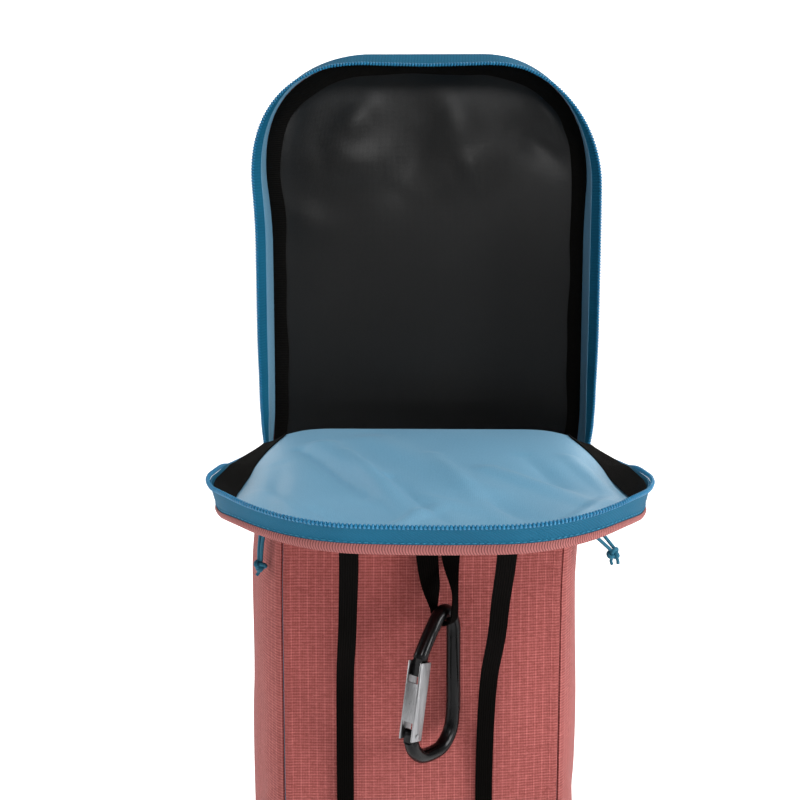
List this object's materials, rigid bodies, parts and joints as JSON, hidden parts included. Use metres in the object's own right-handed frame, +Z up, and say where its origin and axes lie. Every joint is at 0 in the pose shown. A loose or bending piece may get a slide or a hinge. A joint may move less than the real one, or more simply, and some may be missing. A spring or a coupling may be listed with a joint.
{
  "type": "hockey stick bag",
  "caption": "Tall soft bag for hockey sticks, unzipped at the top, with its front flap folded forward and a snap hook on a webbing loop.",
  "frame": {"origin": "centre of the base's underside", "axes": "+Z up, -Y towards the front with the folded flap, +X to the right as seen from the front"},
  "size_m": [0.2419, 0.3373, 0.982],
  "materials": {
    "pink_cloth": "ripstop polyester, matt",
    "blue_lining": "smooth coated polyester",
    "black_lining": "smooth coated polyester",
    "zip_tape": "woven zip tape",
    "zip_coil": "nylon coil",
    "binding": "grosgrain tape",
    "webbing": "woven webbing",
    "pull_cord": "braided cord",
    "slider": "enamelled",
    "hook_black": "black anodised, glossy",
    "hook_gate": "bare, polished"
  },
  "bodies": {
    "root": {"base_panel": "pink_cloth", "front_panel": "pink_cloth", "front_lining": "blue_lining", "flap_panel": "pink_cloth", "flap_lining": "blue_lining", "flap_rim": "pink_cloth", "flap_zip_tape": "zip_tape", "flap_zip_coil": "zip_coil", "flap_binding": "binding", "gusset_left": "pink_cloth", "gusset_right": "pink_cloth", "gusset_lining_left": "blue_lining", "gusset_lining_right": "blue_lining", "gusset_upper": "pink_cloth", "gusset_lining_upper": "blue_lining", "back_panel": "pink_cloth", "back_lining": "black_lining", "back_binding": "binding", "back_zip_tape": "zip_tape", "back_zip_coil": "zip_coil", "slider_left": "slider", "slider_right": "slider", "pull_cord_left_a": "pull_cord", "pull_cord_left_b": "pull_cord", "pull_cord_right_a": "pull_cord", "pull_cord_right_b": "pull_cord", "pull_knot_left": "pull_cord", "pull_knot_right": "pull_cord", "strap_left": "webbing", "strap_right": "webbing", "hanger_loop": "webbing", "carabiner_body": "hook_black"},
    "gate": {"carabiner_gate": "hook_gate"}
  },
  "joints": [
    {"name": "gate_hinge", "type": "hinge", "parent": "root", "child": "gate", "pos_m": [-0.00935, -0.09141, 0.56813], "axis": [-0.766, 0.6428, 0], "range_deg": [0, 25], "stiffness_Nm_per_rad": 0.01, "springref_deg": -5.73}
  ]
}
